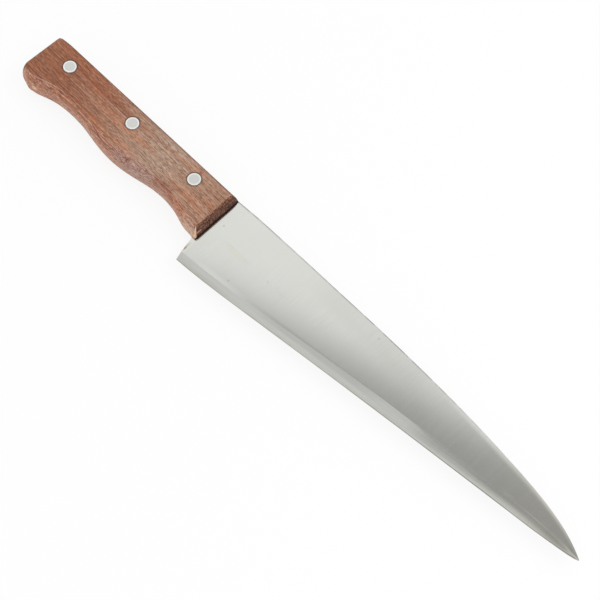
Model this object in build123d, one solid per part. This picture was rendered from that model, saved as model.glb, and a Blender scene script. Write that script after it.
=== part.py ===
from build123d import *
import math
import os

os.makedirs("parts", exist_ok=True)

# Frame: the knife lies on its side. +X runs from the butt to the tip, +Y from the cutting edge to the spine
# and +Z up, off the blade's face. The origin is the middle of the knife's box, on the face it rests on.

# Blade
blade_length = 240.0        # heel corner to tip
blade_height = 44.3         # heel corner up to the highest part of the spine
blade_thick = 2.0           # spine at the heel, and the tang
edge_thick = 0.1            # flat left on the ground edge
spine_chamfer = 0.35        # broken corners of the spine
tip_height = 0.5            # height left at the very tip
heel_lead = 1.2             # heel corner ahead of the lower end of the handle's front face
heel_lean = 13.5            # angle of the heel's back edge from upright, in degrees

# Tang
tang_width = 18.0           # from the handle's spine down to the tang's lower edge
tang_corner_radius = 3.0    # inside corner between the heel's back edge and the tang
tang_setback = 0.1          # tang behind the wood at the spine and the butt

# Handle
handle_length = 131.1
handle_depth = 30.0         # spine to the lowest point, at the butt's beak
handle_thick = 17.0
spine_step = 1.25           # handle's spine below the highest part of the blade's
side_inset = 2.2            # how far the rounded sides draw in from mid-plane to the arrises
arris_width = 0.5           # broken corner where the sides meet the flats
front_lean = 2.1            # how far the front face leans back up to the flats
front_rake = 0.8            # how far the front face's spine end stands behind its lower end
butt_rake = 0.5             # how far the butt's spine corner stands ahead of its lower one
butt_corner_radius = 1.4    # at the butt's spine corner, beside the arris
butt_droop = 0.6            # fall of the spine line towards the butt
droop_length = 9.0
beak_corner_radius = 3.0    # at the butt's lower corner, beside the arris
beak_cut_angle = 17.5       # of the straight cut under that corner, in degrees

# Rivets
rivet_head_diameter = 7.2
rivet_head_thick = 1.5
rivet_rim_chamfer = 0.25
rivet_tube_diameter = 4.0
rivet_stud_diameter = 2.7
rivet_tube_gap = 1.0        # left between the tube's end and the stud's head
rivet_stud_gap = 2.0        # left between the stud's end and the bottom of the tube's bore
front_rivet_inset = 21.7    # from the lower end of the front face
butt_rivet_inset = 19.2     # from the butt
middle_rivet_share = 0.491  # of the way from the front rivet to the butt one
front_rivet_drop = 9.7      # below the handle's spine
butt_rivet_drop = 10.8

# Fits
slot_clearance = 0.05       # each side of the tang, and around its edges
head_clearance = 0.05       # all round a rivet's head
shank_clearance = 0.1       # all round a rivet's shank, in wood and in steel
overrun = 5.0               # how far cutting shapes reach past what they cut

# Places worked out from the sizes
overall_length = handle_length + heel_lead + blade_length
tip_x = overall_length / 2
heel_x = tip_x - blade_length
front_x = heel_x - heel_lead
butt_x = front_x - handle_length
top_y = blade_height / 2
heel_y = -blade_height / 2
spine_y = top_y - spine_step
tang_low_y = spine_y - tang_width
mid_z = handle_thick / 2
front_rivet = (front_x - front_rivet_inset, spine_y - front_rivet_drop)
butt_rivet = (butt_x + butt_rivet_inset, spine_y - butt_rivet_drop)
middle_rivet = tuple(a + middle_rivet_share * (b - a) for a, b in zip(front_rivet, butt_rivet))
rivets = [front_rivet, middle_rivet, butt_rivet]

# Blade stations from heel to tip: place along the blade, then edge rise, spine drop and bevel width as shares
# of the blade's height, then the spine's and the bevel shoulder's thickness as shares of the full thickness.
blade_station_shares = [
    (-0.034, 0.000, None, 0.102, 1.00, 1.00),
    (0.000, 0.000, 0.021, 0.102, 1.00, 1.00),
    (0.042, 0.014, 0.010, 0.104, 1.00, 0.97),
    (0.083, 0.033, 0.006, 0.106, 1.00, 0.93),
    (0.167, 0.084, 0.003, 0.110, 0.99, 0.83),
    (0.250, 0.138, 0.001, 0.118, 0.97, 0.74),
    (0.333, 0.192, 0.000, 0.130, 0.95, 0.67),
    (0.417, 0.245, 0.001, 0.142, 0.92, 0.62),
    (0.500, 0.296, 0.009, 0.147, 0.88, 0.58),
    (0.583, 0.347, 0.023, 0.145, 0.83, 0.55),
    (0.667, 0.396, 0.046, 0.137, 0.77, 0.52),
    (0.750, 0.445, 0.080, 0.131, 0.70, 0.49),
    (0.833, 0.492, 0.125, 0.128, 0.61, 0.45),
    (0.896, 0.528, 0.177, 0.118, 0.52, 0.40),
    (0.946, 0.564, 0.245, 0.090, 0.42, 0.33),
    (0.979, 0.592, 0.312, 0.048, 0.33, 0.25),
]
tip_rise_share = 0.622
tip_thick_share = 0.22
tip_bevel_share = 0.5

# The handle's lower outline at mid-plane, from the front corner to the straight cut at the butt, as shares of
# its length and depth.
belly_shares = [
    (0.000, 0.986),
    (0.035, 0.954),
    (0.077, 0.936),
    (0.122, 0.883),
    (0.168, 0.832),
    (0.229, 0.806),
    (0.297, 0.827),
    (0.381, 0.899),
    (0.480, 0.951),
    (0.579, 0.917),
    (0.662, 0.857),
    (0.746, 0.838),
    (0.830, 0.878),
    (0.893, 0.964),
    (0.917, 0.991),
    (0.934, 1.000),
    (0.950, 0.992),
]
front_foot_y = spine_y - belly_shares[0][1] * handle_depth


def face_in_plan(points):
    """A flat face on the ground plane from its corner points."""
    return make_face(Polyline(*points, close=True))


def plate_at_mid(face, thick):
    """The plan face as a plate of the given thickness, centred on the blade's mid-plane."""
    return Pos(0, 0, mid_z) * extrude(face, amount=thick / 2, both=True)


def blade_section(x, edge_y, shoulder_y, top, spine_thick, shoulder_thick, chamfer_size):
    """One cross-section of the blade, standing across the knife at x."""
    half = [
        (edge_y, edge_thick / 2),
        (shoulder_y, shoulder_thick / 2),
        (top - chamfer_size, spine_thick / 2),
        (top, spine_thick / 2 - chamfer_size),
    ]
    other_half = [(y, -z) for y, z in reversed(half)]
    corners = [(x, y, mid_z + z) for y, z in half + other_half]
    return make_face(Polyline(*corners, close=True))


def blade_body():
    """The blade, lofted through its stations, and reaching back into the handle."""
    sections = []
    for place, rise, drop, bevel, spine_share, shoulder_share in blade_station_shares:
        edge_y = heel_y + rise * blade_height
        top = spine_y if drop is None else top_y - drop * blade_height
        sections.append(
            blade_section(
                heel_x + place * blade_length,
                edge_y,
                edge_y + bevel * blade_height,
                top,
                spine_share * blade_thick,
                shoulder_share * blade_thick,
                spine_chamfer * spine_share,
            )
        )
    tip_y = heel_y + tip_rise_share * blade_height
    tip_thick = tip_thick_share * blade_thick
    sections.append(
        blade_section(
            tip_x,
            tip_y,
            tip_y + tip_bevel_share * tip_height,
            tip_y + tip_height,
            tip_thick,
            tip_thick,
            spine_chamfer * tip_thick_share,
        )
    )
    return loft(sections)


def behind_heel(grow):
    """Plan shape of the room behind the heel and below the tang, drawn back by a clearance."""
    lean = math.tan(math.radians(heel_lean))
    neck_y = tang_low_y - grow
    low_y = heel_y - overrun
    shift = grow / math.cos(math.radians(heel_lean))
    neck_x = heel_x - shift - lean * (neck_y - heel_y)
    low_x = heel_x - shift - lean * (low_y - heel_y)
    far_x = butt_x - overrun
    room = face_in_plan([(low_x, low_y), (neck_x, neck_y), (far_x, neck_y), (far_x, low_y)])
    neck = room.vertices().sort_by(Axis.X)[-2]
    return fillet(neck, tang_corner_radius)


def inset_along_normals(points, amount):
    """Moves each point of an open run square to the run, towards its right-hand side."""
    moved = []
    for index, (x, y) in enumerate(points):
        before = points[max(index - 1, 0)]
        after = points[min(index + 1, len(points) - 1)]
        run = math.hypot(after[0] - before[0], after[1] - before[1])
        moved.append((x + amount * (after[1] - before[1]) / run, y - amount * (after[0] - before[0]) / run))
    return moved


def front_face_x(y):
    """Where the handle's raked front face stands at mid-plane, at a height in plan."""
    return front_x - front_rake * (y - front_foot_y) / (spine_y - front_foot_y)


def handle_outline(inset):
    """The handle's plan outline, drawn in by an inset everywhere but at the front."""
    cut = math.radians(beak_cut_angle)
    belly = [(front_x - u * handle_length, spine_y - v * handle_depth) for u, v in belly_shares]
    cut_start = (belly[-1][0] + inset * math.sin(cut), belly[-1][1] + inset * math.cos(cut))
    belly = inset_along_normals(belly, inset)
    belly[0] = (front_face_x(belly[0][1]), belly[0][1])
    belly[-1] = cut_start
    top = spine_y - inset
    end = butt_x + inset
    low_corner = (end, cut_start[1] + (cut_start[0] - end) * math.tan(cut))
    high_corner = (end + butt_rake, top - butt_droop)
    front_corner = (front_face_x(top), top)
    droop_start = (end + droop_length, top)
    outline = make_face(
        [
            Spline(*belly, tangents=[(-1, 0), (-math.cos(cut), math.sin(cut))]),
            Line(cut_start, low_corner),
            Line(low_corner, high_corner),
            Spline(high_corner, droop_start, tangents=[(1, butt_droop / droop_length), (1, 0)]),
            Line(droop_start, front_corner),
            Line(front_corner, belly[0]),
        ]
    )
    outline = fillet(outline.vertices().sort_by(Axis.X)[0], beak_corner_radius + side_inset - inset)
    return fillet(
        outline.vertices().filter_by(lambda corner: corner.Y > spine_y / 2).sort_by(Axis.X)[0],
        butt_corner_radius + side_inset - inset,
    )


def upright_disc(place, diameter, low_z, high_z):
    """A round shape on a rivet's axis between two heights."""
    return Pos(*place, (low_z + high_z) / 2) * Cylinder(diameter / 2, high_z - low_z)


def blade():
    """Blade and tang in one, with the rivet holes."""
    tang_face = handle_outline(tang_setback)
    tang_room = Pos((butt_x + front_x) / 2, spine_y - tang_width / 2) * Rectangle(handle_length, tang_width)
    tang = plate_at_mid(tang_face & tang_room, blade_thick)
    body = blade_body() + tang
    body -= plate_at_mid(behind_heel(0), handle_thick)
    for rivet in rivets:
        body -= upright_disc(rivet, rivet_tube_diameter + 2 * shank_clearance, 0, handle_thick)
    return body


def handle_layer(*levels):
    """The handle's body between levels, each given as its height and the outline's inset there."""
    return loft([Pos(0, 0, z) * handle_outline(inset) for z, inset in levels])


def handle():
    """The wooden handle: rounded sides and broken arrises between two flats, slotted from the spine."""
    low_arris = (arris_width, side_inset)
    high_arris = (handle_thick - arris_width, side_inset)
    flat_inset = side_inset + arris_width
    wood = handle_layer(low_arris, (mid_z, 0), high_arris)
    wood += handle_layer((0, flat_inset), low_arris)
    wood += handle_layer(high_arris, (handle_thick, flat_inset))
    rake_angle = math.degrees(math.atan2(front_rake, spine_y - front_foot_y))
    for side in (-1, 1):
        near_z = mid_z + side * blade_thick / 2
        flat_z = mid_z + side * mid_z
        past_z = flat_z + side * front_lean
        wedge_outline = Polyline(
            (0, 0, near_z),
            (-front_lean, 0, flat_z),
            (-front_lean, 0, past_z),
            (overrun, 0, past_z),
            (overrun, 0, near_z),
            close=True,
        )
        wedge = extrude(make_face(wedge_outline), amount=blade_height, both=True)
        wood -= Pos(front_x, front_foot_y) * Rot(0, 0, rake_angle) * wedge
    slot_x = (butt_x + front_x) / 2
    slot_face = Pos(slot_x, 0) * Rectangle(handle_length + 2 * overrun, blade_height + 2 * overrun)
    slot_face -= behind_heel(slot_clearance)
    wood -= plate_at_mid(slot_face, blade_thick + 2 * slot_clearance)
    for rivet in rivets:
        wood -= upright_disc(rivet, rivet_tube_diameter + 2 * shank_clearance, 0, handle_thick)
        head_hole = rivet_head_diameter + 2 * head_clearance
        wood -= upright_disc(rivet, head_hole, 0, rivet_head_thick)
        wood -= upright_disc(rivet, head_hole, handle_thick - rivet_head_thick, handle_thick)
    return wood


def rivet_tube(rivet):
    """Upper half of a rivet: a head flush with the wood and a tube that takes the stud."""
    head = upright_disc(rivet, rivet_head_diameter, handle_thick - rivet_head_thick, handle_thick)
    head = chamfer(head.edges().group_by(Axis.Z)[-1], rivet_rim_chamfer)
    tube_end = rivet_head_thick + rivet_tube_gap
    shank = upright_disc(rivet, rivet_tube_diameter, tube_end, handle_thick - rivet_head_thick)
    bore = upright_disc(rivet, rivet_stud_diameter, 0, handle_thick - rivet_head_thick)
    return head + shank - bore


def rivet_stud(rivet):
    """Lower half of a rivet: a head flush with the wood and a solid stud pressed into the tube."""
    head = upright_disc(rivet, rivet_head_diameter, 0, rivet_head_thick)
    head = chamfer(head.edges().group_by(Axis.Z)[0], rivet_rim_chamfer)
    stud_end = handle_thick - rivet_head_thick - rivet_stud_gap
    return head + upright_disc(rivet, rivet_stud_diameter, rivet_head_thick, stud_end)


export_step(blade(), "parts/blade.step")
export_step(handle(), "parts/handle.step")
for number, rivet in enumerate(rivets, start=1):
    export_step(rivet_tube(rivet), f"parts/rivet_tube_{number}.step")
    export_step(rivet_stud(rivet), f"parts/rivet_stud_{number}.step")
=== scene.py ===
import bpy
import math
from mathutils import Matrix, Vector


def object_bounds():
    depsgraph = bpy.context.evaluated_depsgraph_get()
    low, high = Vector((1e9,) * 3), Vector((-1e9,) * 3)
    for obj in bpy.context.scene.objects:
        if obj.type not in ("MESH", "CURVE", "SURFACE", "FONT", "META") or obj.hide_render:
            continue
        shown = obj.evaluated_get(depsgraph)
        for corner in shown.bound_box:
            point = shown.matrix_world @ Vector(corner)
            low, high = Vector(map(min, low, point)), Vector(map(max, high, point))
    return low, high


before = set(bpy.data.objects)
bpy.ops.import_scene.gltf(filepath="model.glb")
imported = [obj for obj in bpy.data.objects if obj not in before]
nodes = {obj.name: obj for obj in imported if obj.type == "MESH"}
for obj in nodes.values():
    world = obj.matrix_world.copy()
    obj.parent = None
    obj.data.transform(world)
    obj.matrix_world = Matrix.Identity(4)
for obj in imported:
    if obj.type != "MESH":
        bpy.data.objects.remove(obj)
cad_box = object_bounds()
bpy.ops.object.select_all(action="DESELECT")

# Blade and tang: one piece of stainless steel, ground thinner towards the edge, brushed across its length and
# honed along the bevel. Its tang runs through the slot in the handle and shows along the spine.
MM_PER_METRE = 1000
blade_length = 240.0
blade_height = 44.3
heel_lead = 1.2             # heel corner ahead of the foot of the handle's front face
front_foot_y = -8.7         # that foot
front_slope = 0.027         # how much the front face falls back for each millimetre towards the spine
tip_x = cad_box[1][0] * MM_PER_METRE
heel_x = tip_x - blade_length
heel_y = cad_box[0][1] * MM_PER_METRE
front_x = heel_x - heel_lead
edge_slope = math.radians(6.3)
scratch_slope = math.radians(10)

# The blade's outline and its bevel, from the heel to the tip, as shares of its length and height.
edge_rise_shares = [
    (0, 0),
    (0.083, 0.033),
    (0.25, 0.138),
    (0.50, 0.296),
    (0.75, 0.445),
    (0.946, 0.564),
    (1, 0.622),
]
spine_drop_shares = [
    (0, 0.021),
    (0.06, 0.008),
    (0.333, 0),
    (0.50, 0.009),
    (0.583, 0.023),
    (0.667, 0.046),
    (0.75, 0.080),
    (0.833, 0.125),
    (0.896, 0.177),
    (0.946, 0.245),
    (0.979, 0.312),
    (1, 0.366),
]
bevel_width_shares = [(0, 0.102), (0.25, 0.118), (0.50, 0.147), (0.75, 0.131), (0.86, 0.118), (1, 0)]
bevel_rounding_shares = [
    (0, 0),
    (0.24, 0),
    (0.36, 1),
    (0.50, 0.15),
    (0.56, 0.15),
    (0.66, 1),
    (0.88, 1),
    (1, 0.2),
]

# How the ground faces curve, as the change of slope for each millimetre, and where they roll off.
face_convexity = 0.0015
bevel_convexity = 0.011
belly_line_y = 5.0          # where the face stands highest
spine_roll_width = 3.0
spine_roll_slope = 0.035
handle_roll_width = 1.2
handle_roll_slope = 0.070
brush_depth = 0.0002

# Marks of use on the blade, each with its middle and its size in millimetres, and some with the share of the
# size that is full.
speck_size = (0.8, 0.8, 2)
speck_places = [(-50.9, 6.6, 9.5), (-27.7, -12.2, 9.5), (44.3, 18.3, 9.4)]
pitted_spot = ((-9, 1.3, 9.5), (10, 1.8, 3), 0.5)
stained_spot = ((-55.4, -15.6, 9), (1.3, 6.0, 3))
darkest_spot = ((-55.2, -15.2, 9), (0.9, 1.4, 3), 0.4)
yellowed_spot = ((-36, 0.5, 9.5), (11, 2.4, 3))
greyed_spot = ((-32, 1.3, 9.5), (20, 0.9, 3))
scratched_spots = [((142.5, 5.4, 9.3), (6, 1.3, 2), 0.6), ((163.6, 7.8, 9.2), (3.0, 1.1, 2), 0.6)]

# How new shader nodes are laid out in the node editor.
nodes_in_row = 12
node_width = 180
node_height = 260


class Value:
    """What a shader node gives over a surface. A plain sign between two values adds the node for it."""

    def __init__(self, tree, socket):
        self.tree = tree
        self.socket = socket

    def work_out(self, operation, first, second=0.0):
        """One step of arithmetic."""
        return add(self.tree, "ShaderNodeMath", {0: first, 1: second}, 0, operation=operation)

    def __add__(self, other):
        return self.work_out("ADD", self, other)

    def __sub__(self, other):
        return self.work_out("SUBTRACT", self, other)

    def __rsub__(self, other):
        return self.work_out("SUBTRACT", other, self)

    def __mul__(self, other):
        return self.work_out("MULTIPLY", self, other)

    def __truediv__(self, other):
        return self.work_out("DIVIDE", self, other)

    def __abs__(self):
        return self.work_out("ABSOLUTE", self)


def colour(red, green, blue):
    """A colour given as it looks on a screen, from 0 to 255, as the shaders take it."""
    shares = [level / 255 for level in (red, green, blue)]
    return tuple(s / 12.92 if s <= 0.04045 else ((s + 0.055) / 1.055) ** 2.4 for s in shares) + (1,)


def join(tree, socket, source):
    """Feeds a socket from a value, or sets it to a plain number, place or colour."""
    if isinstance(source, Value):
        tree.links.new(source.socket, socket)
    else:
        socket.default_value = source


def new_node(tree, kind, inputs, **settings):
    """Adds a shader node with its settings and its inputs, given by number or by name."""
    row, column = divmod(len(tree.nodes) + 1, nodes_in_row)
    made = tree.nodes.new(kind)
    made.location = (column * node_width, -row * node_height)
    for name, setting in settings.items():
        setattr(made, name, setting)
    for key, source in inputs.items():
        join(tree, made.inputs[key], source)
    return made


def add(tree, kind, inputs, output, **settings):
    """Adds a shader node and gives one of its outputs as a value."""
    return Value(tree, new_node(tree, kind, inputs, **settings).outputs[output])


def place_step(operation, first, second, output="Vector"):
    """One step of arithmetic with places."""
    return add(first.tree, "ShaderNodeVectorMath", {0: first, 1: second}, output, operation=operation)


def scaled(place, factor):
    """A place moved away from the origin by a factor."""
    inputs = {0: place, "Scale": factor}
    return add(place.tree, "ShaderNodeVectorMath", inputs, "Vector", operation="SCALE")


def turned(place, angle):
    """A place turned about the upright axis, so that streaks can run at an angle."""
    inputs = {"Vector": place, "Angle": angle}
    return add(place.tree, "ShaderNodeVectorRotate", inputs, "Vector", rotation_type="Z_AXIS")


def parts_of(place):
    """The three parts of a place or a direction."""
    split = new_node(place.tree, "ShaderNodeSeparateXYZ", {0: place})
    return [Value(place.tree, part) for part in split.outputs]


def facing(tree):
    """The three parts of the direction that the bare surface faces."""
    return parts_of(add(tree, "ShaderNodeNewGeometry", {}, "True Normal"))


def ramp(value, low, high, to_low=0.0, to_high=1.0):
    """Carries a value smoothly from one range to another, and holds it at both ends."""
    inputs = {"Value": value, "From Min": low, "From Max": high, "To Min": to_low, "To Max": to_high}
    return add(value.tree, "ShaderNodeMapRange", inputs, "Result", interpolation_type="SMOOTHSTEP")


def between(value, start, full, fade, end):
    """A mask that rises over one stretch of a value and falls over a later one."""
    return ramp(value, start, full) * ramp(value, end, fade)


def greater(first, second):
    """The greater of two values."""
    return first.work_out("MAXIMUM", first, second)


def curve(value, points):
    """Carries a value along a smooth line through points from 0 to 1."""
    made = new_node(value.tree, "ShaderNodeFloatCurve", {"Value": value})
    line = made.mapping.curves[0].points
    line[0].location = points[0]
    line[1].location = points[-1]
    for point in points[1:-1]:
        line.new(*point)
    made.mapping.update()
    return Value(value.tree, made.outputs[0])


def lay(base, over, mask, kind="MIX"):
    """Lays one colour over another by a mask."""
    inputs = {0: mask, 6: base, 7: over}
    return add(mask.tree, "ShaderNodeMix", inputs, 2, data_type="RGBA", blend_type=kind)


def lay_all(base, layers, kind="MIX"):
    """Lays colours over a base in turn, each given as its mask, its strength and its colour."""
    for mask, strength, over in layers:
        base = lay(base, over, mask * strength, kind)
    return base


def falloff(distance, width, slope):
    """Height in millimetres of a face that rolls off within a width of its border, for a bump."""
    inside = greater(width - distance, 0.0)
    return inside * inside * (-slope / (2 * width))


def new_material(name):
    """A material with its node tree and its shader, and the place on the piece in millimetres."""
    made = bpy.data.materials.new(name)
    made.use_nodes = True
    tree = made.node_tree
    place = scaled(add(tree, "ShaderNodeTexCoord", {}, "Object"), MM_PER_METRE)
    return made, tree, tree.nodes["Principled BSDF"], place


def new_group(name, inputs, output):
    """A shader node group with named inputs and one named output: the group, its inputs and that output."""
    made = bpy.data.node_groups.new(name, "ShaderNodeTree")
    for socket, kind in inputs.items():
        made.interface.new_socket(socket, in_out="INPUT", socket_type="NodeSocket" + kind)
    made.interface.new_socket(output, in_out="OUTPUT", socket_type="NodeSocketFloat")
    start = made.nodes.new("NodeGroupInput")
    end = made.nodes.new("NodeGroupOutput")
    return made, [Value(made, start.outputs[socket]) for socket in inputs], end.inputs[output]


def dress(name, material):
    """Gives a CAD node its material."""
    nodes[name].data.materials.clear()
    nodes[name].data.materials.append(material)


# Streaks: long soft marks of a given size, as brushing leaves in metal and growth leaves in wood.
streak_inputs = {"Place": "Vector", "Size": "Vector", "Low": "Float", "High": "Float", "Detail": "Float"}
streak_group, (place, size, low, high, detail), outcome = new_group("streaks", streak_inputs, "Mask")
inputs = {"Vector": place_step("DIVIDE", place, size), "Scale": 1.0, "Detail": detail}
pattern = add(streak_group, "ShaderNodeTexNoise", inputs, "Fac")
join(streak_group, outcome, ramp(pattern, low, high))

# Patch: a soft-edged spot of a given size, as a stain, a speck or a worn place leaves.
patch_inputs = {"Place": "Vector", "Centre": "Vector", "Size": "Vector", "Core": "Float"}
patch_group, (place, centre, size, core), outcome = new_group("patch", patch_inputs, "Mask")
offset = place_step("DIVIDE", place_step("SUBTRACT", place, centre), size)
reach = place_step("LENGTH", offset, (0, 0, 0), "Value")
join(patch_group, outcome, ramp(reach, 1.0, core))


def streaks(place, size, low=0.30, high=0.70, detail=2.0):
    """A mask of streaks of a given size in millimetres: none at the low level, and full at the high one."""
    inputs = {"Place": place, "Size": size, "Low": low, "High": high, "Detail": detail}
    return add(place.tree, "ShaderNodeGroup", inputs, "Mask", node_tree=streak_group)


def patch(place, centre, size, core=0.2):
    """A mask of one spot: full inside its core, and none past its size."""
    inputs = {"Place": place, "Centre": centre, "Size": size, "Core": core}
    return add(place.tree, "ShaderNodeGroup", inputs, "Mask", node_tree=patch_group)


steel, tree, shader, place = new_material("brushed_steel")
x, y, z = parts_of(place)
face_x, face_y, face_z = facing(tree)
along = (x - heel_x) / blade_length
above_edge = y - (curve(along, edge_rise_shares) * blade_height + heel_y)
below_spine = (-heel_y - curve(along, spine_drop_shares) * blade_height) - y
ahead_of_wood = x + (y - front_foot_y) * front_slope - front_x
above_foot = y - front_foot_y
bevel = ramp(face_y, -0.030, -0.045)    # it leans further towards the edge than the face above it
along_edge = turned(place, -edge_slope)
brushing = streaks(place, (0.35, 12, 12))

# Brushing and honing, then the tones of the bevel, the edge, the spine and the seam at the handle: painted
# shade on stretches of the bevel, on the spine and at the seam, and painted highlights above the bevel and on
# the spine by the tip. Ranges are places along the knife, or distances from the edge or the spine, in
# millimetres.
bare_steel = colour(210, 211, 206)
bright_steel = colour(238, 239, 234)
highlight_steel = colour(250, 250, 246)
darker_steel = colour(150, 151, 146)
broad_brushing = streaks(place, (2.2, 24, 24), 0.35, 0.65, detail=1.0)
clouds = streaks(place, (22, 14, 14))
honing = streaks(along_edge, (16, 0.35, 0.35))
# Painted shade: the bevel's middle stretch, its far stretch and its part by the tip are darkened where the
# metal's reflection is darker.
middle_bevel_shade = between(above_edge, 2.4, 3.8, 6.0, 7.5) * between(x, -20, 12, 52, 76)
far_bevel_shade = between(above_edge, 0.9, 2.4, 3.8, 5.0) * between(x, 80, 100, 130, 160)
# Painted highlight: a pale line on the face just above the bevel, near the heel.
shoulder_highlight = between(above_edge, 4.3, 5.0, 5.2, 8.0) * ramp(x, -8, -28) * ramp(x, -50, -34, 0.05, 0.40)
tip_bevel_shade = bevel * ramp(x, 158, 174)
heel_bevel = ramp(above_edge, 3.2, 1.4) * ramp(x, -8, -40)
upper_part = ramp(below_spine, 14, 6) * between(x, -5, 20, 60, 85)
edge_wear = ramp(above_edge, 2.2, 0.6) * streaks(along_edge, (7, 1.2, 4), 0.35, 0.65)
edge_line = ramp(above_edge, 0.60, 0.20) * ramp(x, 0, 175, 0.35, 0.80)
# Painted shade: the spine's own face and a line along the spine's edge are darkened.
shaded_spine_side = ramp(face_y, 0.3, 0.6) * streaks(place, (3, 0.5, 0.5))
spine_shade_line = ramp(below_spine, 0.80, 0.25) * streaks(place, (5, 9, 9), 0.30, 0.55)
spine_dust = ramp(below_spine, 1.4, 0.7) * ramp(x, 40, 10)
# Painted shadow and reflection: a dark line on the blade where it meets the handle's front face.
seam_shadow = ramp(ahead_of_wood, 0.50, 0.28) * ramp(above_foot, -0.6, 0.3)
# Painted highlight: a bright band along the spine by the tip.
tip_spine_highlight = ramp(below_spine, 2.0, 0.5) * ramp(x, 140, 172)
shade = lay_all(bare_steel, [
    (brushing, 0.03, colour(170, 171, 164)),
    (broad_brushing * ramp(x, 10, 110), 0.07, colour(180, 182, 172)),
    (clouds, 0.10, colour(194, 197, 187)),
    (honing * bevel, 0.25, colour(230, 230, 226)),
    (middle_bevel_shade, 0.22, darker_steel),
    (far_bevel_shade, 0.36, darker_steel),
    (shoulder_highlight, 1.0, bright_steel),
    (tip_bevel_shade, 0.34, darker_steel),
    (heel_bevel, 0.14, colour(160, 150, 128)),
    (upper_part, 0.12, darker_steel),
    (edge_wear * ramp(x, 90, 140, 0.35, 0.12), 1.0, colour(200, 192, 172)),
    (edge_line, 1.0, colour(104, 104, 98)),
    (shaded_spine_side, 0.6, colour(140, 142, 138)),
    (spine_shade_line * ramp(x, 60, 120, 0.75, 0.15), 1.0, colour(112, 114, 110)),
    (spine_dust, 0.22, darker_steel),
    (seam_shadow, 0.85, colour(52, 42, 36)),
    (tip_spine_highlight, 0.55, highlight_steel),
])

# Marks of use: specks, pits, a stain on the heel's back edge, an old line by the handle and scratches by
# the tip.
specks = [patch(place, centre, speck_size) for centre in speck_places]
pits = patch(place, *pitted_spot) * streaks(place, (0.7, 0.5, 4), 0.60, 0.68)
stain = patch(place, *stained_spot)
dark_spot = patch(place, *darkest_spot)
old_lines = streaks(place, (14, 1.3, 4), 0.36, 0.66, detail=1.0)
yellowing = patch(place, *yellowed_spot) * ramp(old_lines, 0, 1, 0.4, 1.0)
greying = patch(place, *greyed_spot) * old_lines
tip_lines = streaks(turned(place, -scratch_slope), (6, 0.26, 4), 0.52, 0.62, detail=0.0)
scratches = [patch(place, *spot) * tip_lines for spot in scratched_spots]
shade = lay_all(shade, [
    *[(speck, 0.28, colour(124, 126, 110)) for speck in specks],
    (pits, 0.35, colour(120, 122, 112)),
    (stain, 0.55, colour(160, 138, 96)),
    (dark_spot, 0.45, colour(104, 84, 54)),
    (yellowing, 0.26, colour(206, 200, 160)),
    (greying, 0.11, colour(150, 152, 140)),
    *[(scratch, 0.5, colour(240, 240, 238)) for scratch in scratches],
    (ramp(x, 110, 170), 0.30, colour(214, 207, 190)),
])

belly = y - belly_line_y
bevel_width = curve(along, bevel_width_shares) * blade_height
into_bevel = greater(bevel_width - above_edge, 0.0)
across_bevel = into_bevel * (bevel_width - into_bevel)
spine_roll = falloff(below_spine, spine_roll_width, spine_roll_slope)
relief = belly * belly * (-face_convexity / 2)
relief = relief + spine_roll * ramp(x, 75, 115) * ramp(x, 135, 175, 1.0, 1.8)
relief = relief + across_bevel * curve(along, bevel_rounding_shares) * (bevel_convexity / 2)
relief = relief + falloff(ahead_of_wood, handle_roll_width, handle_roll_slope)
relief = relief + brushing * brush_depth
inputs = {"Strength": 1.0, "Distance": 1 / MM_PER_METRE, "Height": relief}
join(tree, shader.inputs["Normal"], add(tree, "ShaderNodeBump", inputs, "Normal"))
join(tree, shader.inputs["Base Color"], shade)
join(tree, shader.inputs["Roughness"], ramp(brushing, 0, 1, 0.11, 0.13))
shader.inputs["Metallic"].default_value = 1.0
dress("blade", steel)

# Handle: one piece of reddish brown wood, sawn from the spine side for the tang, rounded on its sides and
# sanded, with open pores and a patch of curly figure in the belly. Its ends show dark end grain.
butt_x = -186.15
mid_z = 8.5
rivet_places = [(-76.75, 11.2, 0), (-121.02, 10.66, 0), (-166.95, 10.1, 0)]
rivet_radius = 3.6
side_slope = 0.275          # how much the rounded sides draw in for each millimetre off the mid-plane
grain_slope = math.radians(1.0)
swirl_scale = 0.16
even_swirl = 0.15           # how far the growth wanders in plain wood, and how much further in curly wood
curly_swirl = 7.0
wood_shine = 0.25
pore_depth = 0.1 / MM_PER_METRE
pore_strength = 0.35
fine_grain_depth_share = 0.4

# Places in the wood with a look of their own, as for the blade. Worn places also have how pale they are.
curly_spot = ((-104, -6.5, 15), (21, 6, 20))
figured_spot = ((-102, -5.5, 15), (19, 5, 8), 0.5)
pale_back_spot = ((-143, 18, 17), (15, 5, 4))
dull_back_spot = ((-110, 19, 17), (20, 4, 4))
lower_edge_spot = ((-144, -3.2, 15), (30, 3.6, 9), 0.4)
pale_throat_light_spot = ((-55, -9, 12), (19, 7, 10), 0.3)
red_throat_spot = ((-73, -4.0, 14), (13, 3.2, 6), 0.3)
red_beak_spot = ((-174.3, -5.7, 15.5), (4.5, 1.6, 3), 0.3)
knot_spot = ((-174.2, -8.1, 9.6), (0.9, 0.7, 0.9), 0.4)
chipped_spot = ((-55.8, -5.1, 12.2), (3, 2.4, 0.9), 0.4)
worn_places = [
    ((-173.9, -8.1, 9.5), (2.5, 1.4, 2.4), 0.9),
    ((-181.5, -5.8, 12.0), (4.5, 3.2, 5.0), 0.5),
    ((-56.2, -7.9, 10.4), (1.8, 1.3, 2.6), 1.0),
]
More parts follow.
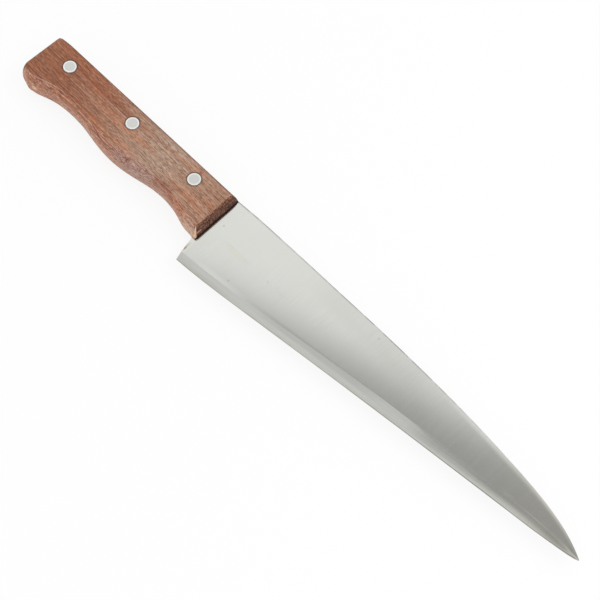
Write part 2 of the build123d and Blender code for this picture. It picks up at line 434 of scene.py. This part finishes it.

# The wood's colour from the butt to the front, on the flats and on the lower side, and on the front face from
# the blade out to the flats. The lower side's colours are the wood's with painted light on them.
wood_shades = [
    (0.00, colour(183, 134, 107)),
    (0.18, colour(181, 130, 103)),
    (0.36, colour(196, 154, 130)),
    (0.50, colour(196, 164, 142)),
    (0.68, colour(200, 176, 158)),
    (0.84, colour(198, 167, 145)),
    (1.00, colour(194, 155, 131)),
]
lower_side_lit_shades = [
    (0.05, colour(254, 204, 176)),
    (0.16, colour(246, 202, 182)),
    (0.34, colour(255, 222, 202)),
    (0.45, colour(255, 210, 184)),
    (0.57, colour(220, 182, 166)),
    (0.68, colour(216, 180, 164)),
    (0.87, colour(238, 192, 164)),
    (1.00, colour(255, 214, 190)),
]
front_face_shades = [
    (0.14, colour(26, 19, 16)),
    (0.21, colour(98, 71, 60)),
    (0.28, colour(134, 94, 80)),
    (0.45, colour(144, 100, 84)),
    (0.70, colour(150, 104, 86)),
    (0.94, colour(182, 130, 104)),
]


def bands(value, stops):
    """A colour that changes through set stops as a value goes from 0 to 1."""
    made = new_node(value.tree, "ShaderNodeValToRGB", {0: value})
    for number, (share, shade) in enumerate(stops):
        stop = made.color_ramp.elements[number] if number < 2 else made.color_ramp.elements.new(share)
        stop.position = share
        stop.color = shade
    return Value(value.tree, made.outputs["Color"])


# Rivet distance: how far a place is from the axis of the nearest rivet.
rivet_group, (place,), outcome = new_group("rivet_distance", {"Place": "Vector"}, "Distance")
flattened = place_step("MULTIPLY", place, (1, 1, 0))
nearest = place_step("DISTANCE", flattened, rivet_places[0], "Value")
for rivet_place in rivet_places[1:]:
    reach = place_step("DISTANCE", flattened, rivet_place, "Value")
    nearest = nearest.work_out("MINIMUM", nearest, reach)
join(rivet_group, outcome, nearest)

wood, tree, shader, place = new_material("handle_wood")
x, y, z = parts_of(place)
face_x, face_y, face_z = facing(tree)
level = abs(face_z)
lower_side = ramp(face_y, -0.30, -0.80)
shaded_spine_side = ramp(face_y, 0.25, 0.6)
butt_side = ramp(face_x, -0.3, -0.7)
front_side = ramp(face_x, 0.6, 0.85)
along = (x - butt_x) / (front_x - butt_x)

# Growth: straight and slightly slanting, and swirled in the curly part of the belly.
curly = patch(place, *curly_spot)
inputs = {"Vector": place, "Scale": swirl_scale, "Detail": 2.0}
swirl = place_step("SUBTRACT", add(tree, "ShaderNodeTexNoise", inputs, "Color"), (0.5, 0.5, 0.5))
grown = place_step("ADD", place, scaled(swirl, curly * curly_swirl + even_swirl))
growth = turned(grown, grain_slope)
broad = streaks(growth, (90, 2.4, 2.4), 0.38, 0.62, detail=1.0)
middling = streaks(growth, (60, 0.80, 0.80), 0.36, 0.64, detail=1.0)
fine = streaks(growth, (34, 0.40, 0.40), 0.36, 0.64, detail=1.0)
grit = streaks(growth, (2.0, 0.5, 0.5), 0.36, 0.64)
pores = streaks(growth, (2.6, 0.26, 0.26), 0.57, 0.65, detail=0.0)
flecks = streaks(growth, (10, 0.5, 0.5), 0.58, 0.72)
orange_streaks = streaks(place, (26, 4.5, 4.5), 0.50, 0.66)

# Broad tones: along the back, on the lower side with its painted light and the painted shade under its arris,
# then a painted sheen and the curls of the figure.
back_tone = ramp(y, 9, 17) * ramp(x, -130, -160)
pale_back = patch(place, *pale_back_spot)
dull_back = patch(place, *dull_back_spot)
lower_edge = patch(place, *lower_edge_spot) * ramp(middling, 1, 0, 0.15, 0.60)
# Painted light: the lower side by the front is lightened further.
pale_throat_light = patch(place, *pale_throat_light_spot) * lower_side
# Painted shade: the lower side just under its arris is darkened, along the grain.
under_arris_shade = lower_side * ramp(level, 0.10, 0.45) * middling
red_throat = patch(place, *red_throat_spot)
red_beak = patch(place, *red_beak_spot)
figured = patch(place, *figured_spot)
# Painted sheen: pale pinkish streaks on the figure in the belly.
figure_sheen = streaks(grown, (2.4, 1.0, 1.0), 0.42, 0.60)
curls = streaks(grown, (3.0, 0.7, 0.7), 0.56, 0.66, detail=1.0)
shade = lay_all(bands(along, wood_shades), [
    (back_tone, 0.6, colour(208, 146, 112)),
    (pale_back, 0.30, colour(238, 190, 160)),
    (dull_back, 0.25, colour(140, 100, 84)),
    (orange_streaks, 0.40, colour(210, 138, 98)),
    (lower_side, 0.75, bands(along, lower_side_lit_shades)),
    (lower_edge, 1.0, colour(232, 156, 108)),
    (pale_throat_light, 0.75, colour(255, 232, 212)),
    (under_arris_shade, 0.75, colour(160, 82, 58)),
    (red_throat, 0.38, colour(200, 116, 78)),
    (red_beak, 0.38, colour(214, 116, 64)),
    (figured * figure_sheen, 0.65, colour(222, 204, 204)),
    (figured * curls, 0.55, colour(128, 70, 62)),
])

# Grain, which darkens what lies under it and is deepest by the butt, then bright flecks and open pores.
grain_depth = ramp(x, -140, -112, 1.0, 0.68)
grain = [
    (broad * grain_depth, 0.45, colour(212, 188, 172)),
    (middling * grain_depth, 0.55, colour(222, 196, 180)),
    (fine * grain_depth, 0.70, colour(206, 184, 172)),
    (grit * grain_depth, 0.85, colour(216, 202, 194)),
]
shade = lay_all(shade, grain, kind="MULTIPLY")
shade = lay_all(shade, [
    (flecks, 0.40, colour(226, 176, 144)),
    (pores, 0.60, colour(92, 56, 42)),
])

# Wear and painted light: a painted highlight, broken like rubbing, along the arris by the butt, bare places
# at the beak and the front corner, a small knot, painted shade on the spine side, painted shade with darker
# end grain on the butt side, and a painted highlight along the front arris.
# Painted highlight: a pale broken line along the lower arris by the butt.
lower_arris = between(level, 0.55, 0.62, 0.82, 0.92) * ramp(face_y, 0, -0.3)
butt_arris_highlight = between(x, -181, -174, -166, -150) * streaks(place, (2.0, 1.0, 1.0), 0.30, 0.60)
knot = patch(place, *knot_spot)
# Painted highlight: a ragged pale line along the front arris.
front_arris_highlight = ramp(x, front_x - 3.1, front_x - 2.4) * ramp(level, 0.70, 0.90)
shade = lay_all(shade, [
    (lower_arris * butt_arris_highlight, 0.45, colour(214, 182, 164)),
    *[
        (patch(place, centre, size), paleness, colour(244, 200, 166))
        for centre, size, paleness in worn_places
    ],
    (knot, 0.6, colour(112, 70, 48)),
    # Painted shade on the spine side, and painted shade with darker end grain on the butt side.
    (shaded_spine_side * ramp(level, 0.35, 0.50, 0.30, 0.70), 1.0, colour(84, 50, 40)),
    (butt_side, 0.7, colour(96, 58, 44)),
    (front_arris_highlight * streaks(place, (4, 1.0, 4), 0.44, 0.60), 0.45, colour(232, 190, 166)),
])

# End grain: growth rings and pores cut across, a chip and a worn lower corner on the front face.
ring_colour = colour(62, 34, 25)
end_rings = streaks(place, (3, 4, 0.70), 0.38, 0.60)
end_pores = streaks(place, (3, 0.9, 0.9), 0.42, 0.60)
off_blade = abs(z - mid_z)
chip = patch(place, *chipped_spot) * streaks(place, (3, 2.0, 0.4), 0.30, 0.50)
above_corner = y - (off_blade * side_slope + front_foot_y)
worn_corner = ramp(above_corner, 1.1, 0.4) * ramp(off_blade, 1.3, 2.2)
front_face = lay_all(bands(off_blade / mid_z, front_face_shades), [
    (end_rings, 0.5, ring_colour),
    (end_pores, 0.75, colour(34, 18, 14)),
    (chip, 0.6, colour(232, 172, 138)),
    (worn_corner, 0.85, colour(255, 210, 174)),
])
from_rivet = add(tree, "ShaderNodeGroup", {"Place": place}, "Distance", node_tree=rivet_group)
rivet_shadow = ramp(from_rivet, rivet_radius + 0.9, rivet_radius + 0.1)
shade = lay_all(shade, [
    (butt_side * end_rings, 0.35, ring_colour),
    (butt_side * end_pores, 0.45, colour(44, 24, 18)),
    (front_side, 1.0, front_face),
    (rivet_shadow, 0.6, colour(84, 52, 38)),
])

relief = fine * -fine_grain_depth_share - pores
inputs = {"Strength": pore_strength, "Distance": pore_depth, "Height": relief}
join(tree, shader.inputs["Normal"], add(tree, "ShaderNodeBump", inputs, "Normal"))
join(tree, shader.inputs["Base Color"], shade)
join(tree, shader.inputs["Roughness"], greater(ramp(fine, 0, 1, 0.50, 0.60), front_side * 0.9))
shader.inputs["Specular IOR Level"].default_value = wood_shine
dress("handle", wood)

# Rivets: two-part knife rivets of aluminium, pressed together through wood and tang and sanded flush. A
# painted highlight gives a brighter rim where the head's edge is broken.
rivet_metal, tree, shader, place = new_material("rivet_aluminium")
from_rivet = add(tree, "ShaderNodeGroup", {"Place": place}, "Distance", node_tree=rivet_group)
# Painted highlight: a bright ring at the head's broken edge.
rim_highlight = ramp(from_rivet, rivet_radius - 1.1, rivet_radius - 0.7)
sanding = streaks(place, (6, 0.25, 6))
bare_aluminium = colour(208, 209, 205)
shade = lay_all(bare_aluminium, [
    (sanding, 0.25, colour(218, 219, 216)),
    (rim_highlight, 1.0, colour(233, 237, 236)),
])
join(tree, shader.inputs["Base Color"], shade)
join(tree, shader.inputs["Roughness"], ramp(sanding, 0, 1, 0.30, 0.38))
shader.inputs["Metallic"].default_value = 1.0
for name in nodes:
    if name.startswith("rivet"):
        dress(name, rivet_metal)

# Studio: it stands in for the photographer's table and lights. The camera stands at the photo's angle, aimed
# at what is in the middle of the photo.
aim = Vector((3.26, 5.80, 8.50)) / MM_PER_METRE
camera_distance = 1147.5 / MM_PER_METRE
camera_azimuth = math.radians(46.2)
camera_height = math.radians(63.5)
lens_length = 144
sensor_width = 36
away = Vector((
    math.sin(camera_azimuth) * math.cos(camera_height),
    -math.cos(camera_azimuth) * math.cos(camera_height),
    math.sin(camera_height),
))
camera_data = bpy.data.cameras.new("camera")
camera_data.lens = lens_length
camera_data.sensor_width = sensor_width
camera = bpy.data.objects.new("camera", camera_data)
bpy.context.collection.objects.link(camera)
camera.location = aim + away * camera_distance
camera.rotation_euler = away.to_track_quat("Z", "Y").to_euler()
bpy.context.scene.camera = camera

# Floor: a level sheet of matt white paint under the handle's flat. The camera and the metal see it mostly as
# an even glow, which keeps its shadow faint.
floor_size = 6
floor_white = (0.94, 0.94, 0.94, 1)
floor_roughness = 0.8
glow_share = 0.87
bpy.ops.mesh.primitive_plane_add(size=floor_size, location=(0, 0, cad_box[0][2]))
floor = bpy.context.object
floor.name = "floor"
floor_paint = bpy.data.materials.new("floor_white")
floor_paint.use_nodes = True
tree = floor_paint.node_tree
paint = tree.nodes["Principled BSDF"]
paint.inputs["Base Color"].default_value = floor_white
paint.inputs["Roughness"].default_value = floor_roughness
light_path = new_node(tree, "ShaderNodeLightPath", {})
by_eye, by_metal, by_glass = [
    Value(tree, light_path.outputs[ray]) for ray in ("Is Camera Ray", "Is Glossy Ray", "Is Transmission Ray")
]
glow = add(tree, "ShaderNodeEmission", {"Color": (1, 1, 1, 1), "Strength": 1.0}, 0)
seen = greater(greater(by_eye, by_metal), by_glass)
mixed = add(tree, "ShaderNodeMixShader", {0: seen * glow_share, 1: Value(tree, paint.outputs[0]), 2: glow}, 0)
join(tree, tree.nodes["Material Output"].inputs["Surface"], mixed)
floor.data.materials.append(floor_paint)

# Sky: its brightness changes over a level ceiling, thought one unit above the knife. It is bright far off on
# the handle's side, which the heel half of the blade reflects, dim beyond the tip, and fairly bright near by.
dim_sky = 0.418
bright_sky = 1.105
near_sky = 0.80
lowest_way = 0.05
across_share = 0.89
world = bpy.data.worlds.new("studio")
bpy.context.scene.world = world
world.use_nodes = True
sky = world.node_tree
background = sky.nodes["Background"]
way_x, way_y, way_z = parts_of(add(sky, "ShaderNodeTexCoord", {}, "Generated"))
ceiling = greater(way_z, lowest_way)
ceiling_x = way_x / ceiling
ceiling_y = way_y / ceiling
far_wall = ramp(ceiling_y * across_share - ceiling_x, 0.541, 0.634, dim_sky, bright_sky)
near_wall = ramp(ceiling_y, 0.24, 0.16, 0.0, near_sky)
background.inputs["Color"].default_value = (1, 1, 1, 1)
join(sky, background.inputs["Strength"], greater(far_wall, near_wall))

# Lamp: one large soft panel, which hangs level beyond the tip and the spine. Its brightness is how bright it
# looks, so its power grows with its size.
lamp_place = (0.95, 0.65, 1.4)
lamp_length = 1.0
lamp_width = 1.2
lamp_brightness = 3.0
lamp_data = bpy.data.lights.new("right_panel", "AREA")
lamp_data.shape = "RECTANGLE"
lamp_data.size = lamp_length
lamp_data.size_y = lamp_width
lamp_data.energy = lamp_brightness * math.pi * lamp_length * lamp_width
lamp = bpy.data.objects.new("right_panel", lamp_data)
bpy.context.collection.objects.link(lamp)
lamp.location = lamp_place

bpy.context.scene.view_settings.view_transform = "Standard"
